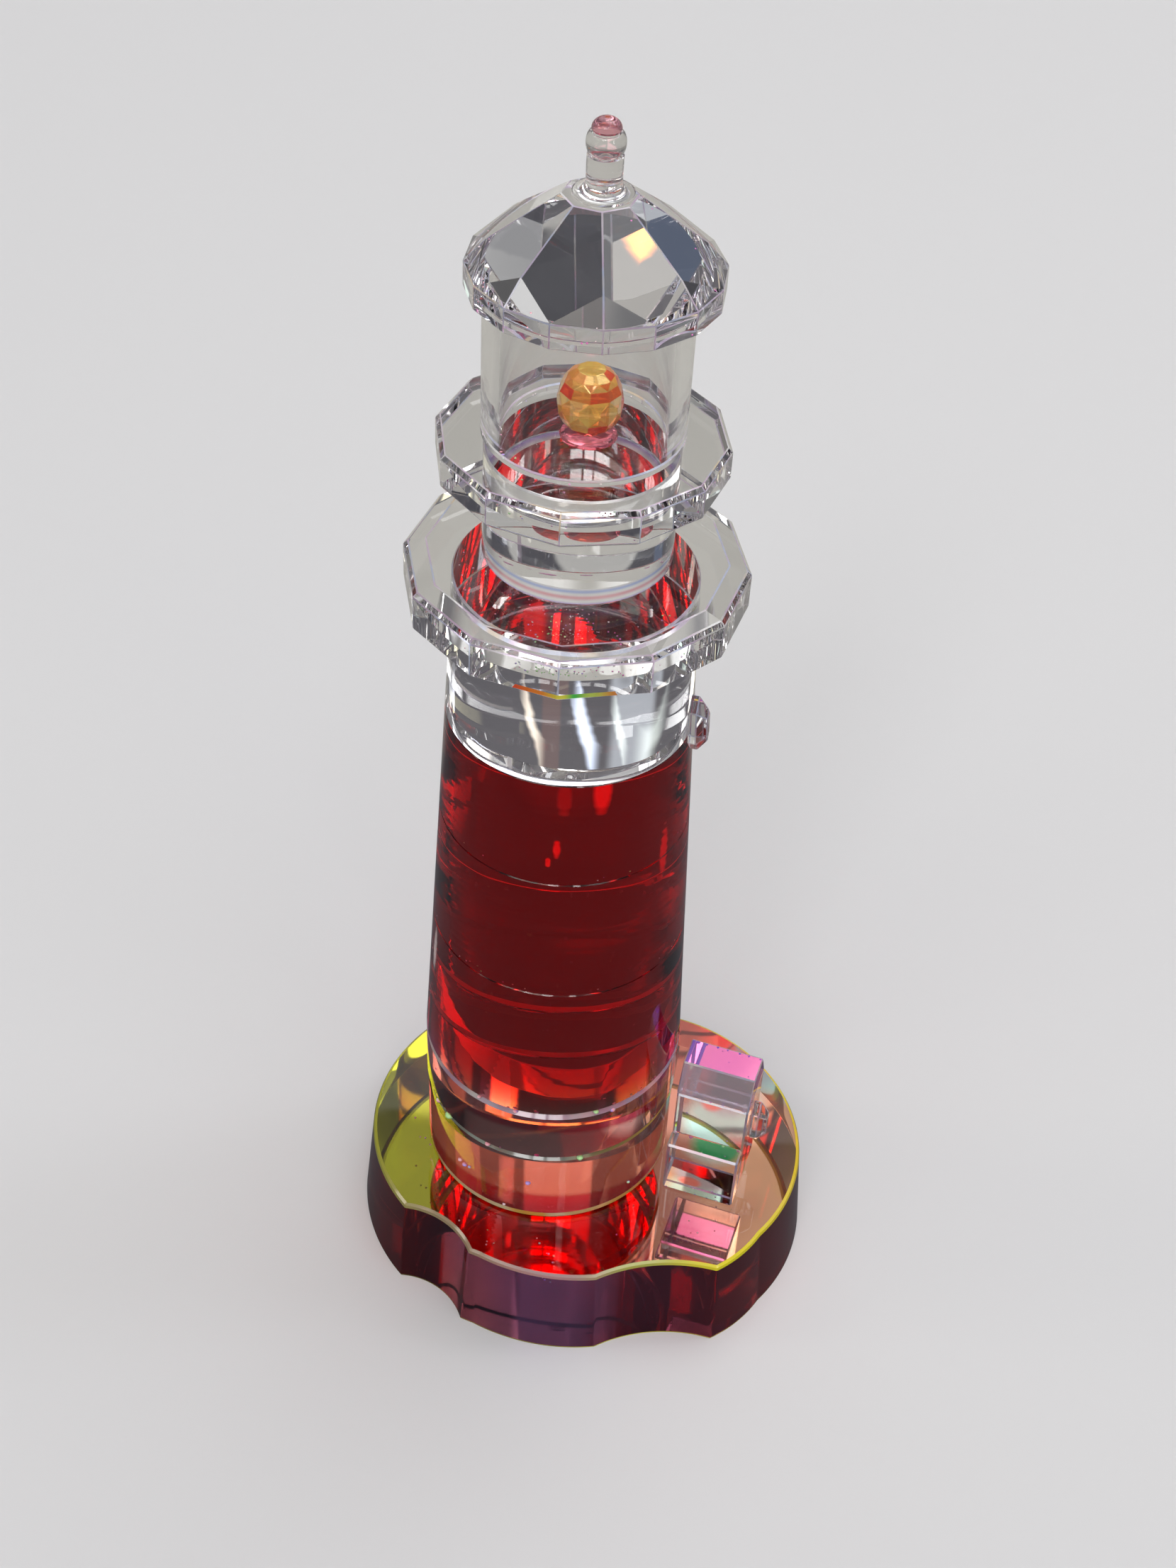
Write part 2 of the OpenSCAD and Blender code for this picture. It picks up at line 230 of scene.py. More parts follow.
def painted_rim_glint(name, stops, reach=None, clearness=0.6, axis="X"):
    """Small polished bevel drawn as a painted highlight: a partly frosted pale face with spectrum
    tints every few millimetres stands for the line of light that the edge catches and splits.
    With a reach the tints follow one another along an axis over that stretch, in metres."""
    material, tree, out = blank(name)
    place = add(tree, "ShaderNodeTexCoord").outputs["Object"]
    if reach:
        apart = add(tree, "ShaderNodeSeparateXYZ", i0=place)
        share = span(tree, apart.outputs[axis], *reach)
    else:
        spread = add(tree, "ShaderNodeTexNoise", {"Scale": 170.0, "Detail": 1.0}, Vector=place)
        share = spread.outputs["Fac"]
    tint = ramp(tree, share, stops)
    glass = add(
        tree,
        "ShaderNodeBsdfPrincipled",
        {
            "Roughness": 0.22,
            "IOR": GLASS_IOR,
            "Transmission Weight": clearness,
            "Coat Weight": 1.0,
        },
        Base_Color=tint.outputs["Color"],
    )
    tree.links.new(glass.outputs[0], out.inputs["Surface"])
    return material


def bubble_painted_reflection():
    """Air bubble in glass or glue, drawn as a matt skin: its pale pink, violet, white and green
    tints are painted reflections, for the light that the bubble throws back from the film under it."""
    material, tree, out = blank("Air bubble in the glue")
    place = add(tree, "ShaderNodeTexCoord").outputs["Object"]
    # The painted tint changes every 3 mm or so, from bubble to bubble
    tint = add(tree, "ShaderNodeTexNoise", {"Scale": 330.0, "Detail": 0.0}, Vector=place)
    colour = ramp(
        tree,
        tint.outputs["Fac"],
        [
            (0.3, "#ff7ad8"),
            (0.42, "#fff2f6"),
            (0.5, "#ffb0c0"),
            (0.58, "#c8a8ff"),
            (0.7, "#c8ffb0"),
        ],
    )
    skin = add(
        tree,
        "ShaderNodeBsdfPrincipled",
        {"Roughness": 0.35},
        Base_Color=colour.outputs["Color"],
    )
    tree.links.new(skin.outputs[0], out.inputs["Surface"])
    return material


def amber_bead_painted_flashes():
    """Amber crystal bead, machine-cut and coated: each facet gets a colour drawn at random, the
    amber's own orange and yellow mixed with painted reflections in red, rose and pale yellow."""
    material, tree, out = blank("Amber crystal, machine-cut, with painted reflections")
    flash = add(tree, "ShaderNodeAttribute", {"attribute_name": "flash"})
    coat = ramp(
        tree,
        flash.outputs["Fac"],
        [
            (0.0, "#ff3424"),
            (0.14, "#ff9c40"),
            (0.35, "#ffdc70"),
            (0.55, "#fff6c0"),
            (0.72, "#f8d860"),
            (0.88, "#ff8450"),
            (1.0, "#ffe890"),
        ],
        "LINEAR",
    )
    glass = add(
        tree,
        "ShaderNodeBsdfPrincipled",
        {"Metallic": 0.12, "Roughness": 0.03, "IOR": 1.6, "Transmission Weight": 0.68},
        Base_Color=coat.outputs["Color"],
    )
    tree.links.new(glass.outputs[0], out.inputs["Surface"])
    return material


def interference_film():
    """Vapour-deposited interference film under the slab: a coloured mirror. Seen steeply it runs
    from olive and yellow on the left to copper and gold on the right. Seen at a slant it turns
    purple along the front and copper towards the back."""
    material, tree, out = blank("Vapour-deposited interference film")
    place = add(tree, "ShaderNodeTexCoord").outputs["Object"]
    # The film's thickness drifts across the slab's 59 mm, with cloudy patches of about 12 mm
    cloud = add(tree, "ShaderNodeTexNoise", {"Scale": 80.0, "Detail": 2.0}, Vector=place)
    apart = add(tree, "ShaderNodeSeparateXYZ", i0=place)

    def drift(axis, low, high, share=0.3):
        moved = add(
            tree,
            "ShaderNodeMath",
            {"operation": "MULTIPLY_ADD", 1: share},
            i0=cloud.outputs["Fac"],
            i2=span(tree, apart.outputs[axis], low, high),
        )
        return add(
            tree, "ShaderNodeMath", {"operation": "SUBTRACT", 1: share / 2}, i0=moved.outputs[0]
        ).outputs[0]

    across, deep = drift("X", *SLAB_SPAN), drift("Y", -0.002, 0.012, 0.6)
    steep = ramp(tree, across, FILM_STEEP).outputs["Color"]
    front = ramp(tree, across, FILM_FRONT).outputs["Color"]
    back = ramp(tree, across, FILM_BACK).outputs["Color"]
    tilt = add(tree, "ShaderNodeLayerWeight", {"Blend": 0.5})
    slant = span(tree, tilt.outputs["Facing"], 0.22, 0.45)
    colour = mixed(tree, slant, steep, mixed(tree, deep, front, back))
    colour = patched(tree, place, colour, FILM_PATCHES)
    film = add(
        tree, "ShaderNodeBsdfPrincipled", {"Metallic": 1.0, "Roughness": 0.03}, Base_Color=colour
    )
    tree.links.new(film.outputs[0], out.inputs["Surface"])
    return material


def hazed_wall_painted_reflections():
    """The film's vapour also settled on the slab's wall: a see-through purple haze that darkens
    what shows through the wall and mirrors a little. Its red at the front's two ends and its maroon
    at the back are painted reflections of the ruby tower, and the copper low at the back is a
    painted reflection of the film."""
    material, tree, out = blank("Polished wall with film haze and painted reflections")
    place = add(tree, "ShaderNodeTexCoord").outputs["Object"]
    apart = add(tree, "ShaderNodeSeparateXYZ", i0=place)
    front = ramp(tree, span(tree, apart.outputs["X"], *SLAB_SPAN), WALL_FRONT)
    back = ramp(tree, span(tree, apart.outputs["Z"], 0.0, BASE_H * MM), WALL_BACK)
    deep = span(tree, apart.outputs["Y"], -0.012, 0.004)
    haze = mixed(tree, deep, front.outputs["Color"], back.outputs["Color"])
    # The haze is thickest along the front
    thick = add(tree, "ShaderNodeMapRange", {"To Min": 0.36, "To Max": 0.06}, Value=deep)
    glass = add(
        tree,
        "ShaderNodeBsdfPrincipled",
        {"Roughness": 0.03, "IOR": GLASS_IOR, "Transmission Weight": 1.0},
        Base_Color=haze,
        Metallic=thick.outputs[0],
    )
    tree.links.new(glass.outputs[0], out.inputs["Surface"])
    return material


SLAB_SPAN = (-0.029, 0.030)  # the slab from left to right, in metres

# Under the house the film is thinner: it turns green there, and mint, grey and salmon behind
FILM_PATCHES = [
    ((0.0178, 0.0008, 0), 0.0042, "#3fa060"),
    ((0.0195, 0.0115, 0), 0.0062, "#d4fff2"),
    ((0.0212, 0.0178, 0), 0.0058, "#c4bcc6"),
    ((0.0186, 0.0152, 0), 0.0019, "#ff9488"),
]
# The film from left to right: seen steeply, at a slant in front and at a slant at the back
FILM_STEEP = [
    (0.0, "#c4c428"),
    (0.12, "#b8b428"),
    (0.3, "#b48a30"),
    (0.4, "#b88040"),
    (0.72, "#c8806a"),
    (0.92, "#ffbc90"),
    (1.0, "#e8c860"),
]
FILM_FRONT = [
    (0.0, "#8a3040"),
    (0.3, "#684054"),
    (0.5, "#5e4464"),
    (0.7, "#6a3850"),
    (1.0, "#803040"),
]
FILM_BACK = [
    (0.0, "#b8783c"),
    (0.35, "#d58975"),
    (0.6, "#e0937a"),
    (0.8, "#e8b060"),
    (1.0, "#d58975"),
]
# The slab's wall: in front from left to right, and at the back from the bottom up. The purple is
# the film's haze; the red, maroon and copper are painted reflections
WALL_FRONT = [
    (0.0, "#f0585c"),
    (0.26, "#6c4464"),
    (0.345, "#54406c"),
    (0.375, "#c89cec"),
    (0.48, "#b890d0"),
    (0.6, "#b0587c"),
    (1.0, "#f06468"),
]
WALL_BACK = [(0.0, "#f3c6ad"), (0.46, "#e0a890"), (0.54, "#a41a2c"), (1.0, "#8c1a2c")]

RUBY = ("#fc0a04", 300.0)  # what the ruby lets through and how much it takes, per metre
# Painted glint on the clear pieces' rims: white with pale rose, blue and cream tints
CLEAR_RIM_GLINTS = [(0.3, "#ffffff"), (0.45, "#ecd0f0"), (0.55, "#d4deff"), (0.7, "#ffe9c8")]

clear = crystal("Crystal glass, polished")
turned_clear = crystal("Crystal glass, turned and polished", ripple=0.01, wave=0.15)
# The clear foot discs get a pink tint as a painted red reflection of the ruby tower
foot_glass_painted_flush = crystal("Clear crystal glass with a painted red reflection", tint="#ffc8cc", wave=0.2)
slab_glass = crystal("Crystal glass, sawn thick slab", wave=0.5)
ruby = crystal("Ruby crystal glass", ripple=0.1, absorb=RUBY, marked=True)
glue = cured_glue()
rim = painted_rim_glint("Clear crystal rim with a painted glint", CLEAR_RIM_GLINTS)
film = interference_film()
# Painted reflection: the gold film seen as a lit line along the lower disc's foot
gold_reflection_rim = painted_rim_glint(
    "Rim with a painted gold reflection of the film",
    [(0.3, "#fff3c0"), (0.5, "#ffd060"), (0.7, "#f4c03a")],
    clearness=0.3,
)
# Painted glints along the slab's top rim, olive on the left to bright yellow on the right
slab_rim_glint = painted_rim_glint(
    "Slab rim with painted glints",
    [
        (0.0, "#b4b440"),
        (0.2, "#a89470"),
        (0.45, "#c09a9c"),
        (0.62, "#c4c85a"),
        (0.8, "#fbf01c"),
        (1.0, "#ffde3a"),
    ],
    SLAB_SPAN,
    0.25,
)
# The film's edge painted as a lit line, brightest yellow right of the middle
film_edge_glint = painted_rim_glint(
    "Edge of the interference film, painted as a lit line",
    [(0.0, "#6c5a30"), (0.4, "#a8a050"), (0.6, "#f2f060"), (0.8, "#c8b040"), (1.0, "#806030")],
    SLAB_SPAN,
    0.0,
)
# Painted spectrum glint for the front of the lower gallery's bottom edge
spectrum_glint_rim = painted_rim_glint(
    "Rim with a painted spectrum glint",
    [
        (0.0, "#ff3020"),
        (0.25, "#ff8a20"),
        (0.42, "#f6f040"),
        (0.5, "#50e050"),
        (0.62, "#d8f060"),
        (0.8, "#ff9a40"),
        (1.0, "#ff6a70"),
    ],
    (-0.0115, 0.0025),
    0.1,
)
bubble = bubble_painted_reflection()
# Painted light: white, violet, rose and blue stripes up the foot of the neck
neck_light_stripes = painted_rim_glint(
    "Foot band of the neck with painted light stripes",
    [
        (0.0, "#ffffff"),
        (0.25, "#c0a8f0"),
        (0.4, "#ffffff"),
        (0.58, "#f4a8b4"),
        (0.72, "#ffffff"),
        (0.86, "#b8c8ff"),
        (1.0, "#ffffff"),
    ],
    (Z_NECK * MM, (Z_NECK + NECK_RIM_H) * MM),
    0.5,
    "Z",
)
# Painted glints on the groove rim: grey-green, turning gold at the right
groove_rim_glint = painted_rim_glint(
    "Rim in the groove of the foot with painted glints",
    [(0.0, "#98a49a"), (0.55, "#84948a"), (0.75, "#a8a468"), (1.0, "#f0cc50")],
    (-0.0215, 0.0112),
    0.5,
)
amber = amber_bead_painted_flashes()
rose = crystal("Rose-tinted crystal", tint="#ff8a9c")
roof_glass = crystal("Magenta crystal glass", tint="#ac64ff", mirror=0.15)
slope_glass = crystal("Crystal slope under fine dust", tint="#e0d0dc", dust=0.4)
slab_wall = hazed_wall_painted_reflections()

CLEAR_SET = (clear, glue, rim)
TURNED_SET = (turned_clear, glue, rim)
RUBY_SET = (ruby,)


# Shaping
def ring(bm, sides, radius, z, turn, centre):
    """A closed loop of edges round an upright axis, its first corner towards +X."""
    put = Matrix.Translation((*centre, z)) @ Matrix.Rotation(radians(turn - 90), 4, "Z")
    bmesh.ops.create_circle(bm, segments=sides, radius=radius, matrix=put)


def clear_loose(bm, keep=()):
    """Deletes the edges without a face, apart from those to keep, and then the lone points."""
    loose = [e for e in bm.edges if e.is_wire and e not in keep]
    bmesh.ops.delete(bm, geom=loose, context="EDGES")
    bmesh.ops.delete(bm, geom=[v for v in bm.verts if not v.link_edges], context="VERTS")


def cut_block(rings, centre=(0, 0)):
    """A block ground to flat facets between rings of corners: (sides, radius, height, turn)."""
    bm = bmesh.new()
    for sides, radius, z, turn in rings:
        ring(bm, sides, radius, z, turn, centre)
    hulled(bm)
    return bm


def hulled(bm):
    """Makes a closed block of flat faces round the bmesh's points."""
    made = bmesh.ops.convex_hull(bm, input=bm.verts[:])
    inner = {g for g in made["geom_interior"] if isinstance(g, bmesh.types.BMVert)}
    bmesh.ops.delete(bm, geom=list(inner), context="VERTS")
    clear_loose(bm)
    bmesh.ops.recalc_face_normals(bm, faces=bm.faces[:])
    bmesh.ops.dissolve_limit(
        bm, angle_limit=radians(0.5), verts=bm.verts[:], edges=bm.edges[:], delimit=set()
    )


def soften(bm, width):
    """Bevels every edge where the faces turn by more than 12 degrees, and paints it as a rim."""
    least = radians(12)
    sharp = [e for e in bm.edges if len(e.link_faces) == 2 and e.calc_face_angle() > least]
    made = bmesh.ops.bevel(
        bm,
        geom=sharp,
        offset=width,
        segments=1,
        profile=0.5,
        affect="EDGES",
        material=-1,
        clamp_overlap=True,
    )
    for face in made["faces"]:
        face.material_index = BEVEL


def fill(bm, edges, index, spots, up, z):
    """Fills a flat loop round its spots, then those: each is its points, index and own spots."""
    loops = []
    for points, *_ in spots:
        verts = [bm.verts.new((x, y, z)) for x, y in points]
        loops.append([bm.edges.new(pair) for pair in zip(verts, verts[1:] + verts[:1])])
    made = bmesh.ops.triangle_fill(
        bm,
        use_beauty=True,
        use_dissolve=False,
        edges=edges + [e for loop in loops for e in loop],
        normal=(0, 0, up),
    )
    for face in made["geom"]:
        if isinstance(face, bmesh.types.BMFace):
            face.material_index = index
    for loop, (_, inner, more) in zip(loops, spots):
        fill(bm, loop, inner, more, up, z)


def glued(bm, z, up, spots):
    """Marks out the glued spots on the flat face that lies at height z and looks up or down."""
    flat = [f for f in bm.faces if f.normal.z * up > 0.999]
    flat = [f for f in flat if abs(f.calc_center_median().z - z) < 0.02]
    edges = {}
    for face in flat:
        for edge in face.edges:
            edges[edge] = edges.get(edge, 0) + 1
    border = [e for e, uses in edges.items() if uses == 1]
    index = flat[0].material_index
    z = flat[0].calc_center_median().z
    bmesh.ops.delete(bm, geom=flat, context="FACES_ONLY")
    clear_loose(bm, border)
    fill(bm, border, index, spots, up, z)


def disc(radius, centre=(0, 0), sides=ROUND):
    """The points of a circle, to mark out a round glued spot."""
    return [
        (centre[0] + radius * cos(tau * i / sides), centre[1] + radius * sin(tau * i / sides))
        for i in range(sides)
    ]


def turned(points, steps=ROUND, centre=(0, 0)):
    """A profile of (radius, height) points turned a full circle round an upright axis."""
    bm = bmesh.new()
    verts = [bm.verts.new((centre[0] + r, centre[1], z)) for r, z in points]
    edges = [bm.edges.new(pair) for pair in zip(verts, verts[1:])]
    bmesh.ops.spin(
        bm,
        geom=verts + edges,
        cent=(*centre, 0),
        axis=(0, 0, 1),
        angle=tau,
        steps=steps,
        use_merge=True,
    )
    bmesh.ops.remove_doubles(bm, verts=bm.verts[:], dist=1e-4)
    bmesh.ops.recalc_face_normals(bm, faces=bm.faces[:])
    return bm


def drum(z0, z1, ra, rb, c0, c1, joints=(True, True)):
    """A round piece with bevelled rims, its ends drawn back by the glue's half gap."""
    bm = turned(
        [
            (0, z0 + GLUE),
            (ra - c0, z0 + GLUE),
            (ra, z0 + c0),
            (rb, z1 - c1),
            (rb - c1, z1 - GLUE),
            (0, z1 - GLUE),
        ]
    )
    for face in bm.faces:
        tilt = face.normal.z
        if abs(tilt) > 0.99:
            face.material_index = JOINT if joints[tilt > 0] else WALL
        elif abs(tilt) > 0.3:
            face.material_index = BEVEL
    return bm


def finish(bm, name, node, materials, put=None, sharp=20, flat=False):
    """Makes the piece an object in the frame, standing for its solid. Edges where the faces
    turn by more than sharp degrees stay crisp, and cut pieces are flat all over."""
    bmesh.ops.remove_doubles(bm, verts=bm.verts[:], dist=1e-4)
    bmesh.ops.recalc_face_normals(bm, faces=bm.faces[:])
    for face in bm.faces:
        face.smooth = not flat
    for edge in bm.edges:
        if len(edge.link_faces) == 2:
            edge.smooth = degrees(edge.calc_face_angle(0.0)) < sharp
    frame_put = Matrix.Scale(MM, 4) @ Matrix.Translation((*AXIS, 0)) @ (put or Matrix())
    bmesh.ops.transform(bm, matrix=frame_put, verts=bm.verts[:])
    mesh = bpy.data.meshes.new(name)
    bm.to_mesh(mesh)
    bm.free()
    piece = bpy.data.objects.new(name, mesh)
    bpy.context.scene.collection.objects.link(piece)
    for material in materials:
        mesh.materials.append(material)
    if materials == RUBY_SET:
        marks = [float(f.material_index == JOINT) for f in mesh.polygons]
        mesh.attributes.new("glued", "FLOAT", "FACE").data.foreach_set("value", marks)
        mesh.polygons.foreach_set("material_index", [0] * len(marks))
    if node:
        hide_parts(node)
    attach(piece, "root")
    return piece


# Base slab
def wave_centre(az, radius, depth):
    """Where the circle stands that bites one wave out of the large lobe."""
    x, y, lobe_r = LOBES[1]
    reach = lobe_r + radius - depth
    return x + reach * cos(radians(az)), y + reach * sin(radians(az)), radius


def outline(out, steps=900):
    """The slab's wavy outline, moved outwards by out: lobes joined, then bitten by the waves."""
    bites = [wave_centre(*w) for w in WAVES]
    points = []
    for i in range(steps):
        a = tau * i / steps
        ux, uy = cos(a), sin(a)
        reach = 0.0
        for x, y, r in LOBES:
            along = x * ux + y * uy
            inside = along**2 - x * x - y * y + (r + out) ** 2
            if inside > 0:
                reach = max(reach, along + sqrt(inside))
        for x, y, r in bites:
            along = x * ux + y * uy
            inside = along**2 - x * x - y * y + (r - out) ** 2
            if inside > 0 < along:
                reach = min(reach, along - sqrt(inside))
        points.append((reach * ux, reach * uy))
    return points


def house_point(u, v):
    """Outwards from the tower and towards the back, in the house's own turned frame."""
    a = radians(HOUSE_AZ)
    u, v = HOUSE_U + u, HOUSE_V + v
    return u * cos(a) - v * sin(a), u * sin(a) + v * cos(a)


def stacked(levels):
    """Loops of the slab's outline joined one above the other: (height, outward offset)."""
    bm = bmesh.new()
    loops = []
    for z, out in levels:
        verts = [bm.verts.new((x, y, z)) for x, y in outline(out)]
        loops.append([bm.edges.new(pair) for pair in zip(verts, verts[1:] + verts[:1])])
    for low, high in zip(loops, loops[1:]):
        bmesh.ops.bridge_loops(bm, edges=low + high)
    return bm, loops[0], loops[-1]


def wall_out(z):
    """How far the slab's flared wall stands out at a height."""
    return FLARE * (1 - z / (BASE_H - BASE_EDGE))


def base_slab():
    """The thick slab: flared wall, bevelled top edge, and glued spots under tower and house."""
    low = FILM_T + GLUE
    levels = [(low, wall_out(low)), (3, wall_out(3)), (7, wall_out(7)), (BASE_H - BASE_EDGE, 0)]
    levels += [(BASE_H - 0.2, -0.16), (BASE_H, -BASE_EDGE)]
    bm, bottom, top = stacked(levels)
    fill(bm, bottom, JOINT, [], -1, low)
    inset = 0.15
    step = [(inset, inset - STEP_D), (HOUSE_W - inset, inset - STEP_D)]
    block = [(HOUSE_W - inset, HOUSE_D - inset), (inset, HOUSE_D - inset)]
    spots = [
        (disc(FOOT_R - 0.2), JOINT, []),
        ([house_point(*p) for p in step + block], JOINT, []),
    ]
    fill(bm, top, WALL, spots, 1, BASE_H)
    for face in bm.faces:
        if 0.3 < face.normal.z < 0.97 and face.calc_center_median().z > BASE_H - BASE_EDGE:
            face.material_index = BEVEL
        elif abs(face.normal.z) < 0.3:
            face.material_index = COATED
    slab = (slab_glass, glue, slab_rim_glint, slab_wall)
    finish(bm, "base_slab_glass", "base_slab", slab)


def base_film():
    """The film under the slab, with its edge as a thin line."""
    bm, bottom, top = stacked([(0, wall_out(FILM_T)), (FILM_T - GLUE, wall_out(FILM_T))])
    fill(bm, bottom, WALL, [], -1, 0)
    fill(bm, top, WALL, [], 1, FILM_T - GLUE)
    for face in bm.faces:
        if abs(face.normal.z) < 0.3:
            face.material_index = JOINT
    finish(bm, "base_film", "base_coating", (film, film_edge_glint))


# Tower, galleries and lantern
def slice_at(bm, point, normal=(0, 0, 1)):
    """Cuts the faces along a plane and keeps both sides."""
    bmesh.ops.bisect_plane(
        bm,
        geom=bm.verts[:] + bm.edges[:] + bm.faces[:],
        dist=1e-5,
        plane_co=point,
        plane_no=normal,
    )


def lit_foot(bm, top):
    """Paints the foot of a wall with a rim's painted light line, up to a height, round the front.
    """
    slice_at(bm, (0, 0, top))
    for face in bm.faces:
        at = face.calc_center_median()
        if face.material_index == WALL and at.z < top and at.y < LIT_TO:
            face.material_index = BEVEL


def foot_and_tower():
    """The two foot discs, the three red lengths of the tower and the clear one."""
    bm = drum(Z_FOOT, Z_FOOT2, FOOT_R, FOOT_R, 0.4, 0.5)
    # The bottom rim's painted gold line runs round the front only; the top rim takes the groove's
    # painted glints
    for face in bm.faces:
        if face.material_index == BEVEL and face.normal.z > 0:
            face.material_index = COATED
        elif face.material_index == BEVEL and face.calc_center_median().y > LIT_TO:
            face.material_index = WALL
    # A painted gold line of the film's reflected light on the foot of the wall, round the front
    lit_foot(bm, Z_FOOT + GOLD_H)
    foot_set = (foot_glass_painted_flush, glue, gold_reflection_rim, groove_rim_glint)
    finish(bm, "foot_disc_lower_glass", "foot_disc_lower", foot_set)
    finish(
        drum(Z_FOOT2, Z_TOWER, FOOT2_R, FOOT2_R, 0.5, 0.5),
        "foot_disc_upper_glass",
        "foot_disc_upper",
        (foot_glass_painted_flush, glue, rim),
    )
    lengths = [
        ("tower_ruby_lower", Z_TOWER, Z_MID, 0.5, 0.12, (True, True)),
        ("tower_ruby_middle", Z_MID, Z_UPPER, 0.12, 0.12, (True, True)),
        ("tower_ruby_upper", Z_UPPER, Z_CLEAR, 0.12, 0.1, (True, False)),
    ]
    for node, z0, z1, c0, c1, joints in lengths:
        bm = drum(z0, z1, tower_r(z0), tower_r(z1), c0, c1, joints)
        finish(bm, node + "_glass", node, RUBY_SET)
    bm = drum(Z_CLEAR, Z_GALLERY, tower_r(Z_CLEAR), tower_r(Z_GALLERY), 0.1, 0.2, (False, True))
    finish(bm, "tower_clear_glass", "tower_clear_section", TURNED_SET)


def galleries():
    """The two twelve-sided galleries and the round neck between them."""
    sides, turn, edge, top = GALLERY_SIDES, GALLERY_TURN, GALLERY_EDGE, Z_NECK - GLUE
    bm = cut_block(
        [
            (sides, GALLERY_R, Z_GALLERY + GLUE, turn),
            (sides, GALLERY_R, Z_GALLERY + GALLERY_WALL, turn),
            (sides, GALLERY_R - edge, Z_GALLERY + GALLERY_SHOULDER, turn),
            (sides, GALLERY_R - TABLE_IN, top, turn),
        ]
    )
    soften(bm, 0.1)
    glued(bm, Z_GALLERY + GLUE, -1, [(disc(tower_r(Z_GALLERY) - 0.2), JOINT, [])])
    glued(bm, top, 1, [(disc(NECK_R - 0.7), JOINT, [])])
    # A short spectrum glint is painted on the front of the lower edge
    left, right, high = -5.6, 5.0, Z_GALLERY + 0.62
    for point, normal in (
        ((0, 0, high), (0, 0, 1)),
        ((left, 0, Z_GALLERY), (1, 0, -0.6)),
        ((right, 0, Z_GALLERY), (1, 0, 0.6)),
    ):
        slice_at(bm, point, normal)
    for face in bm.faces:
        at = face.calc_center_median()
        in_front = at.y < -15 and left < at.x < right
        if in_front and at.z < high and abs(face.normal.z) < 0.9:
            face.material_index = COATED
    gallery_set = (*CLEAR_SET, spectrum_glint_rim)
    finish(bm, "lower_gallery_glass", "lower_gallery", gallery_set, flat=True)

    bm = drum(Z_NECK, Z_GALLERY2, NECK_R, NECK_R, 0.7, 0.2)
    # Painted light stripes at the neck's foot, round the front
    lit_foot(bm, Z_NECK + NECK_RIM_H)
    neck_set = (turned_clear, glue, neck_light_stripes)
    finish(bm, "gallery_neck_glass", "gallery_neck", neck_set)

    turn, low, top = GALLERY2_TURN, Z_GALLERY2 + GLUE, Z_TUBE - GLUE
    bm = cut_block(
        [
            (sides, GALLERY2_R - edge, low, turn),
            (sides, GALLERY2_R, low + edge, turn),
            (sides, GALLERY2_R, top - edge, turn),
            (sides, GALLERY2_R - edge, top, turn),
        ]
    )
    soften(bm, 0.08)
    glued(bm, low, -1, [(disc(NECK_R - 0.2), JOINT, [])])
    seat = (disc(SEAT_R - 0.1, (LAMP_OFF, 0), TINY_ROUND), JOINT, [])
    floor = (disc(TUBE_BORE + 0.2), WALL, [seat])
    glued(bm, top, 1, [(disc(TUBE_R - 0.2), JOINT, [floor])])
    finish(bm, "upper_gallery_glass", "upper_gallery", CLEAR_SET, flat=True)


def lantern():
    """The hollow tube, and in it the bead on its drop of glue."""
    c = 0.2
    z0, z1 = Z_TUBE + GLUE, Z_DOME - GLUE
    section = [
        (TUBE_BORE + c, z0),
        (TUBE_R - c, z0),
        (TUBE_R, z0 + c),
        (TUBE_R, z1 - c),
        (TUBE_R - c, z1),
        (TUBE_BORE + c, z1),
        (TUBE_BORE, z1 - c),
        (TUBE_BORE, z0 + c),
        (TUBE_BORE + c, z0),
    ]
    bm = turned(section)
    for face in bm.faces:
        tilt = abs(face.normal.z)
        face.material_index = JOINT if tilt > 0.99 else BEVEL if tilt > 0.3 else WALL
    tube = finish(bm, "lantern_tube_glass", "lantern_tube", CLEAR_SET)
    # Clear glass casts next to no shadow on the bead inside
    tube.visible_shadow = False

    z = Z_TUBE + GLUE
    r = SEAT_R
    drop = [(0, z), (r - 0.05, z), (r, z + 0.12), (r - 0.15, z + 0.36), (r - 0.5, z + 0.52)]
    drop += [(r - 1.0, z + 0.55), (0, z + 0.56)]
    bm = turned(drop, TINY_ROUND, (LAMP_OFF, 0))
    finish(bm, "lamp_seat_glue", "lamp_seat", (rose, glue, rim))

    foot = Z_TUBE + SEAT_H
    rows = [(0.42, 0.0, 0), (0.82, 0.17, 18), (0.955, 0.31, 18), (1.0, 0.46, 0), (1.0, 0.54, 0)]
    rows += [(0.955, 0.69, 18), (0.82, 0.83, 18), (0.68, 0.92, 0), (0.42, 1.0, 0)]
    rings = [
        (BEAD_SIDES, BEAD_R * wide, foot + BEAD_H * up + BEAD_LIFT * (up == 0), turn)
        for wide, up, turn in rows
    ]
    bm = cut_block(rings, (LAMP_OFF, 0))
    flash = bm.faces.layers.float.new("flash")
    draw = random.Random(5)
    # Sorted by place, so that each run draws the same colours
    for face in sorted(bm.faces, key=lambda f: [round(v, 2) for v in f.calc_center_median()]):
        face[flash] = draw.random()
    soften(bm, 0.05)
    finish(bm, "lamp_bead_cut", "lamp_bead", (amber, glue, amber), flat=True)


